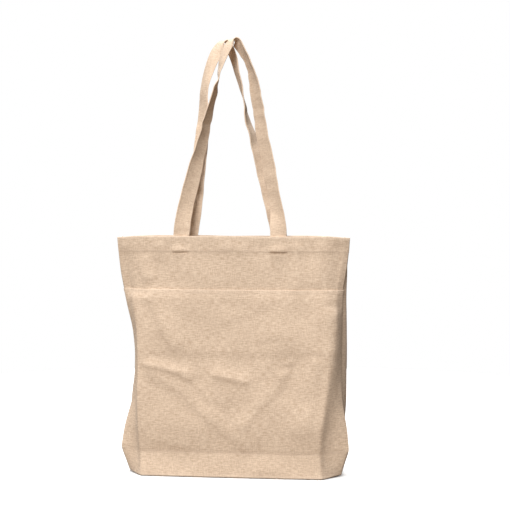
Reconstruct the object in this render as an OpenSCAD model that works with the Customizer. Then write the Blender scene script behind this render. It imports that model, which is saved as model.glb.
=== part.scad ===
// Open-topped canvas tote bag with a boxed bottom, a full-width front pocket and a pair of webbing handles.
// Millimetres. X to the right, Y to the back, Z up. The origin is on the ground under the middle of the base.

/* [Bag] */
// width across the rim, seam to seam
bag_width = 380; // [340:5:420]
// height of the rim above the ground
bag_height = 389; // [360:1:420]
// depth of the boxed bottom on the ground, front edge to back edge
base_depth = 64; // [60:1:72]
// thickness of one layer of canvas
canvas = 0.9; // [0.6:0.1:1.0]
// height of the hem folded inside at the rim
hem_height = 25; // [20:1:30]
// extra thickness of the hem on each face
hem_step = 0.5; // [0.2:0.1:0.6]

/* [Pocket] */
// height of the pocket's mouth above the ground
pocket_top = 303; // [280:1:310]
// height of the crease where the pocket is sewn down
pocket_bottom = 44; // [40:1:50]
// height of the pocket's narrow hem
pocket_hem = 6; // [4:1:10]

/* [Handles] */
// width of the webbing
strap_width = 26; // [22:1:28]
// thickness of the webbing
strap_thickness = 1.6; // [1.2:0.1:2.0]
// height of the top of the handles above the rim
handle_rise = 316; // [300:1:330]
// how far the sewn end of each handle reaches down inside the hem
end_depth = 22; // [16:1:24]

/* [Stitching] */
// diameter of the sewing thread
thread = 0.5; // [0.3:0.1:0.7]
// depth of the raw edges turned inside at each side seam
seam_fin = 8; // [5:1:10]

/* [Node] */
// which sub-part to show

/* [Hidden] */

kx = bag_width / 380;
kz = bag_height / 389;
ky = base_depth / 64;
gap = 0.5;         // clear space between two layers that can move apart
seam_gap = 0.5;    // half the space the side seam's raw edges fill
canvas_colour = [0.85, 0.78, 0.67];
strap_colour = [0.87, 0.79, 0.68];
thread_colour = [0.9, 0.85, 0.76];

// The body's outline by height at full size: side seams, the fold lines of the front and of the back, depth of the folds and how far a face swells between them.
seam_left = [[0, -170], [20, -177], [38, -182.5], [44, -184], [50, -183], [80, -177], [120, -165], [160, -161], [200, -160], [240, -164], [275, -173], [303, -179], [330, -184.5], [364, -188], [389, -190]];
seam_right = [[0, 177], [20, 182], [38, 187], [44, 188.5], [50, 188.5], [80, 185], [120, 177], [160, 175.5], [200, 176], [240, 176.5], [275, 177], [303, 179], [330, 184], [364, 188], [389, 190]];
front_left = [[0, -147], [20, -148.5], [44, -150], [80, -150.5], [120, -151], [160, -153], [200, -153], [240, -155.5], [275, -159], [303, -162.5], [330, -168], [364, -175], [389, -179]];
front_right = [[0, 148], [20, 146.5], [44, 145], [80, 146], [100, 150], [120, 156], [160, 163], [200, 165], [240, 166], [275, 163.5], [303, 165], [330, 169], [364, 174], [389, 179]];
back_left = [[0, -158], [44, -168], [80, -175], [120, -173.5], [160, -168], [200, -165.5], [240, -171.5], [275, -180], [303, -184], [330, -184], [364, -181], [389, -179]];
back_right = [[0, 160], [44, 172], [80, 181], [120, 185.5], [160, 184.5], [200, 185.5], [240, 185.5], [275, 185.5], [303, 185.5], [330, 184], [364, 181], [389, 179]];
fold_depth = [[0, 32], [20, 28], [44, 24], [80, 24], [120, 23], [160, 22], [200, 21.5], [240, 20], [275, 18], [303, 15], [330, 12], [364, 8], [389, 6]];
swell = [[0, 1.5], [44, 2.5], [80, 2.5], [120, 2.5], [160, 2.5], [200, 2.5], [240, 3], [275, 4.5], [303, 6.5], [330, 8.5], [364, 11], [389, 12]];

function mix(a, b, t) = a + (b - a) * t;
function bend(a, b, c, t) = mix(mix(a, b, t), mix(b, c, t), t);

// One face of the bag from the left seam to the right seam, as points in plan at height z. s is -1 for the front and 1 for the back.
function face_line(z, s) =
    let (h = z / kz,
         a = [lookup(h, seam_left) * kx, seam_gap], d = [lookup(h, seam_right) * kx, seam_gap],
         dep = lookup(h, fold_depth) * ky,
         b = [lookup(h, s < 0 ? front_left : back_left) * kx, dep], c = [lookup(h, s < 0 ? front_right : back_right) * kx, dep],
         full = lookup(h, swell),
         line = concat([a, mix(a, b, 0.35)],
                       [for (t = [0, 0.33, 0.67, 1]) bend(mix(b, a, 0.35), b, mix(b, c, 0.05), t)],
                       [for (i = [1:9]) mix(b, c, 0.05 + 0.09 * i)],
                       [for (t = [0, 0.33, 0.67, 1]) bend(mix(c, b, 0.05), c, mix(c, d, 0.35), t)],
                       [mix(c, d, 0.65), d]))
    [for (p = line) let (v = min(1, abs(2 * (p[0] - b[0]) / (c[0] - b[0]) - 1))) [p[0], s * (p[1] + full * (1 - pow(v, 2.5)))]];

function unit(v) = v / max(norm(v), 0.000001);

// Moves a line sideways by off, outwards from the bag; the two ends move straight out along X.
function grown(line, off, s) =
    let (n = len(line) - 1)
    [for (i = [0:n]) i == 0 ? line[0] - [off, 0] : i == n ? line[n] + [off, 0] :
        let (t = unit(line[i + 1] - line[i - 1])) line[i] + off * [-s * t[1], s * t[0]]];

// A closed solid between two grids of points with the same rows and columns.
module shell(outer, inner) {
    r = len(outer);
    c = len(outer[0]);
    pts = concat([for (row = outer) for (p = row) p], [for (row = inner) for (p = row) p]);
    m = r * c;
    function o(i, j) = i * c + j;
    faces = concat(
        [for (i = [0:r - 2]) for (j = [0:c - 2]) for (f = [[o(i, j), o(i, j + 1), o(i + 1, j + 1)], [o(i, j), o(i + 1, j + 1), o(i + 1, j)]]) f],
        [for (i = [0:r - 2]) for (j = [0:c - 2]) for (f = [[m + o(i, j), m + o(i + 1, j + 1), m + o(i, j + 1)], [m + o(i, j), m + o(i + 1, j), m + o(i + 1, j + 1)]]) f],
        [for (j = [0:c - 2]) for (f = [[o(0, j), m + o(0, j + 1), o(0, j + 1)], [o(0, j), m + o(0, j), m + o(0, j + 1)],
            [o(r - 1, j), o(r - 1, j + 1), m + o(r - 1, j + 1)], [o(r - 1, j), m + o(r - 1, j + 1), m + o(r - 1, j)]]) f],
        [for (i = [0:r - 2]) for (f = [[o(i, 0), o(i + 1, 0), m + o(i + 1, 0)], [o(i, 0), m + o(i + 1, 0), m + o(i, 0)],
            [o(i, c - 1), m + o(i + 1, c - 1), o(i + 1, c - 1)], [o(i, c - 1), m + o(i, c - 1), m + o(i + 1, c - 1)]]) f]);
    polyhedron(points = pts, faces = faces, convexity = 10);
}

function lifted(line, z) = [for (p = line) [p[0], p[1], z]];
function drawn_in(line, t, s) = [for (p = line) [p[0], mix(p[1], s * seam_gap, t)]];

function wall_rows() = concat([for (z = [20, 38, 44, 50, 80, 120, 160, 200, 240, 275, 303, 330]) z * kz], [bag_height - hem_height - 2, bag_height - hem_height, bag_height - 12, bag_height]);
function step_out(z) = z >= bag_height - hem_height ? hem_step : 0;

module panel(s) {
    base = [1, 0.66, 0.33, 0];
    outer = concat(
        [for (k = base) lifted(drawn_in(grown(face_line(0, s), canvas / 2, s), k, s), 0)],
        [for (z = wall_rows()) lifted(grown(face_line(z, s), canvas / 2 + step_out(z), s), z)]);
    inner = concat(
        [for (k = base) lifted(drawn_in(grown(face_line(0, s), -canvas / 2, s), k, s), canvas)],
        [for (z = wall_rows()) lifted(grown(face_line(z, s), -canvas / 2 - step_out(z), s), z)]);
    if (s < 0) shell(outer, inner); else shell(inner, outer);
}

module front_panel() { color(canvas_colour) panel(-1); }
module back_panel() { color(canvas_colour) panel(1); }

module front_pocket() {
    zs = concat([pocket_bottom, 50 * kz + 2], [for (z = [80, 120, 160, 200, 240, 270]) z * kz], [pocket_top - pocket_hem - 1, pocket_top - pocket_hem, pocket_top]);
    color(canvas_colour) shell(
        [for (z = zs) lifted(grown(face_line(z, -1), canvas / 2 + gap + canvas * (z >= pocket_top - pocket_hem ? 1.9 : 1), -1), z)],
        [for (z = zs) lifted(grown(face_line(z, -1), canvas / 2 + gap, -1), z)]);
}

// A band that follows one face of the bag between two heights, off away from its middle surface, from column a to column b of the face line.
module band(s, z1, z2, off, thick, a, b) {
    function cut(line) = [for (i = [a:b]) line[i]];
    out = [for (z = [z1, z2]) lifted(cut(grown(face_line(z, s), off + thick, s)), z)];
    in = [for (z = [z1, z2]) lifted(cut(grown(face_line(z, s), off, s)), z)];
    if (s < 0) shell(out, in); else shell(in, out);
}

// Where the face of the bag is at x, by straight steps between the columns of its line.
function face_y(x, z, s) = lookup(x, [for (p = face_line(z, s)) p]);

// Handles: x, y, z of the middle of the webbing, and the turn of its width in plan, from the left end over the top to the right end.
front_path = [
    [-82, -15.5, 404, 3], [-78, -15, 428, 20], [-68, -13.5, 470, 27], [-59.5, -12.5, 503, 42], [-51, -12, 533, 53], [-43, -12, 566, 66],
    [-35.5, -12.5, 596, 75], [-27, -12.5, 627, 85], [-21.5, -12.5, 648, 95], [-16, -12.6, 670, 106], [-8, -12.4, 690, 118], [1, -12.2, 703, 126], [5, -12.2, 703, 127],
    [11, -12.2, 692, 126], [18.5, -12.2, 680, 122], [26, -12, 664, 119], [32, -12, 643, 126], [36.5, -12, 621, 136], [41, -12, 592, 138], [46.5, -12, 557, 143],
    [52, -12, 531, 143], [58, -12.5, 503, 144], [65, -13.5, 465, 141], [71, -14.5, 430, 150], [74, -15.5, 404, 176]];
back_path = [
    [-72, 15.5, 404, -3], [-67, 15, 429, -13], [-62, 13.5, 470, -20], [-58.5, 12.5, 503, -26], [-54.5, 12, 544, -24], [-52, 12, 567, -34], [-51, 12, 588, -46],
    [-50.5, 12, 609, -53], [-49, 12, 629, -56], [-45, 12, 646, -53], [-38.5, 12.4, 665, -48], [-29, 12.4, 687, -50], [-18, 12.2, 701, -53], [-12, 12.2, 701, -53],
    [-5, 12.4, 686, -58], [0, 12.6, 670, -60], [5, 12.6, 650, -66], [11.5, 12, 625, -76], [16, 12, 606, -86], [19, 12, 585, -96], [26, 12, 560, -108],
    [34, 12, 537, -120], [44.5, 12.5, 503, -138], [54, 13.5, 466, -148], [64, 14.5, 426, -154], [70, 15.5, 404, -177]];

rim = bag_height;
pivot_z = rim + 13;
function placed(p) = [p[0] * kx, p[1], rim + (p[2] - 389) * (p[2] > 404 ? handle_rise / 316 : 1), p[3]];
function spline(p0, p1, p2, p3, t) = 0.5 * (2 * p1 + (p2 - p0) * t + (2 * p0 - 5 * p1 + 4 * p2 - p3) * t * t + (3 * p1 - p0 - 3 * p2 + p3) * t * t * t);
function smooth(path) =
    let (n = len(path) - 1)
    concat([for (i = [0:n - 1]) for (t = [0, 0.5]) spline(path[max(i - 1, 0)], path[i], path[i + 1], path[min(i + 2, n)], t)], [path[n]]);

// A strap along a path: its width lies across the path, turned in plan as each row says.
module strap(path) {
    p = smooth([for (r = path) placed(r)]);
    n = len(p) - 1;
    at = [for (r = p) [r[0], r[1], r[2]]];
    run = [for (i = [0:n]) unit(at[min(i + 1, n)] - at[max(i - 1, 0)])];
    wide = [for (i = [0:n]) let (w = [cos(p[i][3]), sin(p[i][3]), 0]) unit(i == 0 || i == n ? w : w - run[i] * (w * run[i])) * strap_width / 2];
    thick = [for (i = [0:n]) unit(cross(run[i], wide[i])) * strap_thickness / 2];
    shell([for (i = [0:n]) [at[i] - wide[i] + thick[i], at[i] + thick[i], at[i] + wide[i] + thick[i]]],
          [for (i = [0:n]) [at[i] - wide[i] - thick[i], at[i] - thick[i], at[i] + wide[i] - thick[i]]]);
}

module front_handle() { color(strap_colour) strap(front_path); }
module back_handle() { color(strap_colour) strap(back_path); }

// The flat sewn end of a handle: down inside the hem, up over the rim to just below the pivot.
module strap_end(x, lean, s) {
    rest = canvas / 2 + hem_step + 0.35 + strap_thickness / 2;
    zs = [rim - end_depth, rim - 11, rim - 2, rim + 3, pivot_z - 0.6];
    function cx(z) = x * kx + lean * (z - rim) / 12;
    mid = [for (z = zs) z > rim + 6 ? s * 15.5 : face_y(cx(z), min(z, rim - 0.1), s) - s * rest];
    out = [for (i = [0:4]) [for (k = [-1, 0, 1]) [cx(zs[i]) + k * strap_width / 2, mid[i] + s * strap_thickness / 2 + fall(cx(zs[i]), k, zs[i], s), zs[i]]]];
    in = [for (i = [0:4]) [for (k = [-1, 0, 1]) [cx(zs[i]) + k * strap_width / 2, mid[i] - s * strap_thickness / 2 + fall(cx(zs[i]), k, zs[i], s), zs[i]]]];
    if (s < 0) shell(out, in); else shell(in, out);
}
// The end follows the curve of the rim across its width, and is flat again at the pivot.
function fall(x, k, z, s) = z > rim + 6 ? 0 : let (h = min(z, rim - 0.1)) face_y(x + k * strap_width / 2, h, s) - face_y(x, h, s);

module front_handle_ends() { color(strap_colour) { strap_end(-84, 2, -1); strap_end(74, 0, -1); } }
module back_handle_ends() { color(strap_colour) { strap_end(-74, 2, 1); strap_end(72, -2, 1); } }

// Raw edges of the side seam, turned inside and standing between the two panels.
module side_seam(table, s) {
    zs = concat([1.2, 20 * kz, 44 * kz, 50 * kz], [for (z = [80, 120, 160, 200, 240, 275, 303, 330, 364]) z * kz], [rim]);
    function x0(z) = lookup(z / kz, table) * kx;
    a = [for (z = zs) [[x0(z) + s * canvas / 2, -0.4, z], [x0(z) - s * seam_fin, -0.4, z]]];
    b = [for (z = zs) [[x0(z) + s * canvas / 2, 0.4, z], [x0(z) - s * seam_fin, 0.4, z]]];
    if (s < 0) shell(a, b); else shell(b, a);
}
module left_side_seam() { color(canvas_colour) side_seam(seam_left, -1); }
module right_side_seam() { color(canvas_colour) side_seam(seam_right, 1); }
module bottom_seam() { color(canvas_colour) translate([(-166 * kx) + seam_fin + 2, -0.4, 0.3]) cube([341 * kx - 2 * seam_fin - 4, 0.8, 5.5]); }

module front_hem_stitching() { color(thread_colour) band(-1, rim - hem_height + 2, rim - hem_height + 2 + thread, canvas / 2 + hem_step + 0.05, thread, 1, 19); }
module back_hem_stitching() { color(thread_colour) band(1, rim - hem_height + 2, rim - hem_height + 2 + thread, canvas / 2 + hem_step + 0.05, thread, 1, 19); }
module pocket_hem_stitching() { color(thread_colour) band(-1, pocket_top - pocket_hem + 1, pocket_top - pocket_hem + 1 + thread, canvas / 2 + gap + 1.9 * canvas + 0.05, thread, 1, 19); }
module pocket_bottom_stitching() { color(thread_colour) band(-1, pocket_bottom - 2.6, pocket_bottom - 0.8, canvas / 2 + 0.1, thread * 2, 1, 19); }

// Two short rows of stitches that hold one end of a handle through the hem.
module tack(x, s) {
    w = strap_width / 2 - 2;
    for (z = [rim - 4, rim - 18]) {
        y = [for (k = [-1, 0, 1]) face_y(x * kx + k * w, z, s) + s * (canvas / 2 + hem_step + 0.45)];
        a = [for (h = [0, thread]) [for (k = [-1, 0, 1]) [x * kx + k * w, y[k + 1] + s * thread, z + h]]];
        b = [for (h = [0, thread]) [for (k = [-1, 0, 1]) [x * kx + k * w, y[k + 1], z + h]]];
        if (s < 0) shell(a, b); else shell(b, a);
    }
}
module front_left_tack() { color(thread_colour) tack(-84, -1); }
module front_right_tack() { color(thread_colour) tack(74, -1); }
module back_left_tack() { color(thread_colour) tack(-74, 1); }
module back_right_tack() { color(thread_colour) tack(72, 1); }

front_panel();
back_panel();
front_pocket();
front_handle();
back_handle();
front_handle_ends();
back_handle_ends();
left_side_seam();
right_side_seam();
bottom_seam();
front_hem_stitching();
back_hem_stitching();
pocket_hem_stitching();
pocket_bottom_stitching();
front_left_tack();
front_right_tack();
back_left_tack();
back_right_tack();
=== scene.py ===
import math

import bmesh
import bpy
import numpy as np
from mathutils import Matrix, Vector


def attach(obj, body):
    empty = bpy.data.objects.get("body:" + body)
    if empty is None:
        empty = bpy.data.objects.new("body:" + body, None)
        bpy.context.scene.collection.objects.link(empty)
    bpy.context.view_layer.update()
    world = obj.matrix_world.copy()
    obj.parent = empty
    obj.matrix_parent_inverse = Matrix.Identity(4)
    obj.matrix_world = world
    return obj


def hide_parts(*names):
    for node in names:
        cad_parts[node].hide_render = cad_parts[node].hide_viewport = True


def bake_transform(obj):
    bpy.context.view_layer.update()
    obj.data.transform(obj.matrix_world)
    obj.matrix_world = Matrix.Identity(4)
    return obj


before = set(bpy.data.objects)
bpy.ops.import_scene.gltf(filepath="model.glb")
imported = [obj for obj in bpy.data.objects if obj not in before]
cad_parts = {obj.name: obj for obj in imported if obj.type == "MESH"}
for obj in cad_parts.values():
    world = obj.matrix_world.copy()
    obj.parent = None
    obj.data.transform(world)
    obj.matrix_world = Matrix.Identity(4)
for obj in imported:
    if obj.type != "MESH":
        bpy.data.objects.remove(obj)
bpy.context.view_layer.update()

# ---------------------------------------------------------------- the bag's measures, in millimetres
RIM = 389.0
HEM = 25.0
CANVAS = 0.9
HEM_STEP = 0.5
POCKET_TOP = 303.0
POCKET_BOTTOM = 44.0
STRAP = 26.0
STRAP_THICK = 1.7
HANDLE_SHIFT = 2.0
SETTLE = 4.0

SEAM_LEFT = [[0, -170], [20, -177], [38, -182.5], [44, -184], [50, -183], [80, -177], [120, -165], [160, -161], [200, -160], [240, -164], [275, -173], [303, -179], [330, -184.5], [364, -188], [389, -190]]
SEAM_RIGHT = [[0, 177], [20, 182], [38, 187], [44, 188.5], [50, 188.5], [80, 185], [120, 177], [160, 175.5], [200, 176], [240, 176.5], [275, 177], [303, 179], [330, 184], [364, 188], [389, 190]]
FRONT_LEFT = [[0, -147], [20, -148.5], [44, -150], [80, -150.5], [120, -151], [160, -153], [200, -153], [240, -155.5], [275, -159], [303, -162.5], [330, -168], [364, -175], [389, -179]]
FRONT_RIGHT = [[0, 148], [20, 146.5], [44, 145], [80, 146], [100, 150], [120, 153], [160, 158], [200, 160], [240, 161], [275, 160], [303, 162], [330, 167.5], [364, 174], [389, 179]]
BACK_LEFT = [[0, -158], [44, -168], [80, -175], [120, -173.5], [160, -168], [200, -165.5], [240, -171.5], [275, -180], [303, -184], [330, -184], [364, -181], [389, -179]]
BACK_RIGHT = [[0, 160], [44, 172], [80, 181], [120, 185.5], [160, 184.5], [200, 185.5], [240, 185.5], [275, 185.5], [303, 185.5], [330, 184], [364, 181], [389, 179]]
FOLD_DEPTH = [[0, 32], [20, 27.4], [44, 22.8], [80, 24], [120, 23], [160, 22], [200, 21.5], [240, 20], [275, 18], [303, 15], [330, 12], [364, 8], [389, 6]]
SWELL = [[0, 1.5], [44, 2.5], [80, 2.5], [120, 2.5], [160, 2.5], [200, 2.5], [240, 3], [275, 4.5], [303, 6.5], [330, 8.5], [364, 11], [389, 12]]
# how far the folded side is tucked in behind the front fold, by height
TUCK_LEFT = [[0, 0], [15, 2.5], [44, 5.5], [80, 5], [130, 3.5], [240, 2.5], [303, 1.5], [389, 0]]
TUCK_RIGHT = [[0, 0], [10, 2], [30, 5], [60, 5.5], [90, 3], [130, 0], [180, -2.5], [250, -3], [303, -2.5], [350, -1], [389, 0]]
# how much further forward the front's folds stand than the CAD solid's
FULL_LEFT = [[0, 0], [44, 3], [80, 5], [160, 4], [240, 2], [303, 0.5], [389, 0]]
FULL_RIGHT = [[0, 0.5], [20, 3], [44, 6], [80, 8], [120, 8], [160, 7], [200, 6], [240, 5], [303, 2], [389, 0]]

# handles: x, y, z and the turn of the webbing's width in plan, in degrees
FRONT_PATH = [
    [-82, -15.5, 404, 3], [-78, -15, 428, 20], [-68, -13.5, 470, 27], [-59.5, -12.5, 503, 42], [-51, -12, 533, 53], [-43, -12, 566, 66],
    [-35.5, -12.5, 596, 75], [-27, -12.5, 627, 85], [-22, -12.5, 648, 104], [-17, -12.6, 670, 121], [-9, -12.4, 690, 129], [1, -12.2, 703, 133], [5, -12.2, 703, 133],
    [11, -12.2, 692, 130], [18.5, -12.2, 680, 122], [26, -12, 664, 119], [32, -12, 643, 126], [36.5, -12, 621, 136], [41, -12, 592, 138], [46.5, -12, 557, 143],
    [52, -12, 531, 143], [58, -12.5, 503, 144], [65, -13.5, 465, 141], [71, -14.5, 430, 150], [74, -15.5, 404, 176]]
BACK_PATH = [
    [-72, 15.5, 404, -3], [-67, 15, 429, -13], [-62, 13.5, 470, -20], [-58.5, 12.5, 503, -26], [-54.5, 12, 544, -24], [-52, 12, 567, -34], [-51, 12, 588, -46],
    [-50.5, 12, 609, -53], [-49, 12, 629, -54], [-45, 12, 646, -48], [-38.5, 12.4, 665, -39], [-29, 12.4, 687, -37], [-18, 12.2, 701, -43], [-12, 12.2, 701, -47],
    [-5, 12.4, 686, -58], [0, 12.6, 670, -60], [5, 12.6, 650, -66], [11.5, 12, 625, -76], [16, 12, 606, -86], [19, 12, 585, -96], [26, 12, 560, -108],
    [34, 12, 537, -120], [44.5, 12.5, 503, -138], [54, 13.5, 466, -148], [64, 14.5, 426, -154], [70, 15.5, 404, -177]]
# sewn ends: x of the middle at the rim and its lean, in millimetres sideways per millimetre up
ENDS = {-1: [(-84, 2 / 12), (74, 0.0)], 1: [(-74, 2 / 12), (72, -2 / 12)]}


def ease(x):
    x = np.clip(x, 0.0, 1.0)
    return x * x * (3 - 2 * x)


def mix(a, b, t):
    return a + (b - a) * t


HEIGHTS = np.arange(-60.0, 460.0, 1.0)


def eased(rows, wide=8.0, near=1.3):
    """A table of heights and values with its corners rounded: less so at the crease of the boxed bottom."""
    z, v = np.array(rows, float).T
    raw = np.interp(HEIGHTS, z, v)
    low, high = HEIGHTS < z[0], HEIGHTS > z[-1]
    raw[low] = v[0] + (HEIGHTS[low] - z[0]) * (v[1] - v[0]) / (z[1] - z[0])
    raw[high] = v[-1] + (HEIGHTS[high] - z[-1]) * (v[-1] - v[-2]) / (z[-1] - z[-2])
    out = []
    for sigma in (wide, near):
        k = np.exp(-0.5 * (np.arange(-40, 41) / sigma) ** 2)
        out.append(np.convolve(np.pad(raw, 40, mode="edge"), k / k.sum(), mode="valid"))
    w = np.exp(-0.5 * ((HEIGHTS - POCKET_BOTTOM) / 9.0) ** 2)
    return out[0] * (1 - w) + out[1] * w


TABLES = {k: eased(v) for k, v in dict(
    seam_left=SEAM_LEFT, seam_right=SEAM_RIGHT, front_left=FRONT_LEFT, front_right=FRONT_RIGHT, back_left=BACK_LEFT,
    back_right=BACK_RIGHT, depth=FOLD_DEPTH, swell=SWELL, tuck_left=TUCK_LEFT, tuck_right=TUCK_RIGHT, full_right=FULL_RIGHT, full_left=FULL_LEFT).items()}


def at(name, z):
    return np.interp(z, HEIGHTS, TABLES[name])


# ---------------------------------------------------------------- cloth relief
def ripples(u, v, seed, short, long, count=26):
    """Smooth shallow unevenness, about 1 high in all, from a seeded set of waves."""
    rng = np.random.default_rng(seed)
    out, total = np.zeros_like(u), 0.0
    for _ in range(count):
        wave = math.exp(rng.uniform(math.log(short), math.log(long)))
        turn, start = rng.uniform(0, math.pi), rng.uniform(0, 2 * math.pi)
        a = wave ** 0.9
        out += a * np.sin((u * math.cos(turn) + v * math.sin(turn)) * 2 * math.pi / wave + start)
        total += a * a / 2
    return out / math.sqrt(total)


def crease(x, z, points, height, low, high, fade=14.0):
    """A fold with its crest beside the line: steep on the right of the line's run, gentle on the left."""
    p = np.array(points, float)
    best = np.full(x.shape, 1e9)
    signed = np.zeros_like(x)
    along = np.zeros_like(x)
    run = 0.0
    total = np.linalg.norm(np.diff(p, axis=0), axis=1).sum()
    for a, b in zip(p[:-1], p[1:]):
        d = b - a
        n = np.linalg.norm(d)
        t = np.clip(((x - a[0]) * d[0] + (z - a[1]) * d[1]) / n ** 2, 0, 1)
        ex, ez = x - (a[0] + t * d[0]), z - (a[1] + t * d[1])
        dist = np.hypot(ex, ez)
        side = np.sign(d[0] * ez - d[1] * ex)
        near = dist < best
        best = np.where(near, dist, best)
        signed = np.where(near, dist * side, signed)
        along = np.where(near, run + t * n, along)
        run += n
    across = signed - low
    sigma = np.where(across > 0, high, low)
    ends = ease(along / min(fade, total / 2.5)) * ease((total - along) / min(fade, total / 2.5))
    return height * np.exp(-0.5 * (across / sigma) ** 2) * ends


# folds of the front: line as x and height, how high the fold stands, and its steep and gentle widths
# flat places where the cloth falls away on the right of a line's run: line, slope, most it falls, lowest and highest height
FRONT_FACETS = [
    ((-163, 372), (-134, 298), 0.24, 6.0, 286, 372),
    ((149, 262), (156, 392), 0.22, 5.0, 262, 384),
    ((-154, 100), (-150, 300), -0.10, 1.5, 190, 300),
]
FRONT_FOLDS = [
    ([(-160, 356), (-148, 330), (-138, 309)], 0.5, 5, 9),
    ([(-146, 294), (-133, 280), (-114, 237), (-90, 197)], 1.0, 6, 12),
    ([(-150, 179), (-109, 173), (-82, 164), (-57, 152)], 1.15, 2.6, 8),
    ([(-106, 170), (-80, 168), (-56, 167)], 0.5, 2.5, 6),
    ([(-36, 164), (-12, 160), (18, 153), (37, 151)], 1.15, 2.6, 9),
    ([(-147, 170), (-112, 151), (-82, 134), (-47, 100), (-9, 70), (31, 40)], 0.9, 6, 11),
    ([(-58, 151), (-44, 131), (-31, 113)], 0.5, 4, 8),
    ([(18, 70), (55, 118), (99, 162)], 0.8, 6, 11),
    ([(-9, 108), (7, 145)], 0.4, 5, 8),
    ([(80, 183), (105, 184)], 0.6, 2.5, 6),
    ([(72, 156), (104, 170)], 0.9, 4, 7),
    ([(-98, 364), (-74, 364)], 0.7, 2.4, 6),
    ([(58, 364), (94, 364)], 0.9, 2.4, 6),
    ([(-31, 366), (18, 366)], 0.5, 5, 9),
    ([(-112, 345), (-112, 388)], 0.7, 5, 9),
    ([(-124, 310), (-130, 366)], 0.7, 6, 10),
    ([(114, 296), (114, 385)], 0.6, 6, 10),
    ([(26, 353), (26, 383)], 0.5, 5, 8),
    ([(147, 300), (150, 385)], 0.6, 6, 10),
    ([(-140, 60), (-95, 52), (-60, 50)], 0.5, 3, 8),
    ([(120, 60), (138, 120), (146, 200)], 0.9, 7, 14),
    ([(-20, 245), (30, 262), (70, 285)], 0.45, 6, 12),
    ([(40, 215), (92, 232)], 0.4, 5, 10),
]
BACK_FOLDS = [
    ([(-140, 300), (-95, 262), (-40, 240)], 1.2, 5, 11),
    ([(-60, 352), (-20, 330), (40, 322)], 0.8, 4, 9),
    ([(30, 120), (80, 168), (150, 190)], 1.1, 5, 10),
    ([(-150, 150), (-100, 128), (-40, 122)], 1.0, 3, 9),
    ([(-110, 92), (-50, 78), (20, 84)], 0.8, 4, 9),
    ([(60, 270), (110, 262), (160, 280)], 0.9, 4, 9),
    ([(-10, 190), (50, 206), (100, 240)], 0.7, 6, 12),
    ([(110, 70), (135, 100), (150, 140)], 0.8, 6, 10),
]


def relief(x, z, u, s):
    """How far the cloth stands out from its plain loft."""
    out = 0.8 * ripples(u, z, 5 if s < 0 else 9, 42, 150)
    out += 0.06 * ripples(u, z, 25 if s < 0 else 29, 12, 34, 40)
    for points, height, low, high in FRONT_FOLDS if s < 0 else BACK_FOLDS:
        out += 2.1 * crease(x, z, points, height, low, high)
    if s < 0:
        for a, b, slope, most, low, high in FRONT_FACETS:
            dx, dz = b[0] - a[0], b[1] - a[1]
            d = -(dx * (z - a[1]) - dz * (x - a[0])) / math.hypot(dx, dz) * -1
            away = np.log1p(np.exp(np.clip(-d / 3.0, -30, 30))) * 3.0
            out -= most * np.tanh(slope * away / most) * ease((z - low) / 18) * ease((high - z) / 16 + 0.2)
    if s < 0:
        # the pocket's foot is drawn in at its seam, and the boxed bottom starts below it
        out -= 1.2 * np.exp(-np.abs(z - POCKET_BOTTOM) / np.where(z > POCKET_BOTTOM, 13.0, 7.0)) * ease((158 - np.abs(x)) / 14)
    # the hem's edge puckers out over each sewn end of a handle
    for where in (-82.0, 76.0) if s < 0 else (-72.0, 74.0):
        window = ease((15.5 - np.abs(x - where)) / 4.0)
        out += 1.3 * window * ease((z - 363.4) / 0.8) * np.exp(-0.5 * (np.maximum(z - 365.0, 0) / 4.0) ** 2)
        out -= 2.0 * window * np.exp(-0.5 * ((z - 361.8) / 1.7) ** 2)
    # the turned-in rim stays straighter, and so do the seams and the ground
    calm = 1 - 0.35 * ease((z - 370) / 12)
    return out * calm * ease(z / 16) * (0.25 + 0.75 * ease((188 - np.abs(x)) / 20))


# ---------------------------------------------------------------- the body's middle surface
def columns():
    c = [("fin", t) for t in (8.0, 5.5, 3.2, 1.5)] + [("turn", 0.0)]
    c += [("side", t) for t in (0.04, 0.1, 0.19, 0.28, 0.38, 0.48, 0.56)]
    c += [("bend", t) for t in (0.0, 0.14, 0.28, 0.42, 0.56, 0.7, 0.85)]
    n = 142
    c += [("face", i / n) for i in range(n + 1)]
    c += [("bend2", t) for t in (0.15, 0.3, 0.44, 0.58, 0.72, 0.86, 1.0)]
    c += [("side2", t) for t in (0.56, 0.48, 0.38, 0.28, 0.19, 0.1, 0.04)]
    c += [("turn2", 0.0)] + [("fin2", t) for t in (1.5, 3.2, 5.5, 8.0)]
    return c


COLUMNS = columns()
NC = len(COLUMNS)
FIRST_FACE, LAST_FACE = 5, NC - 6


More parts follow.
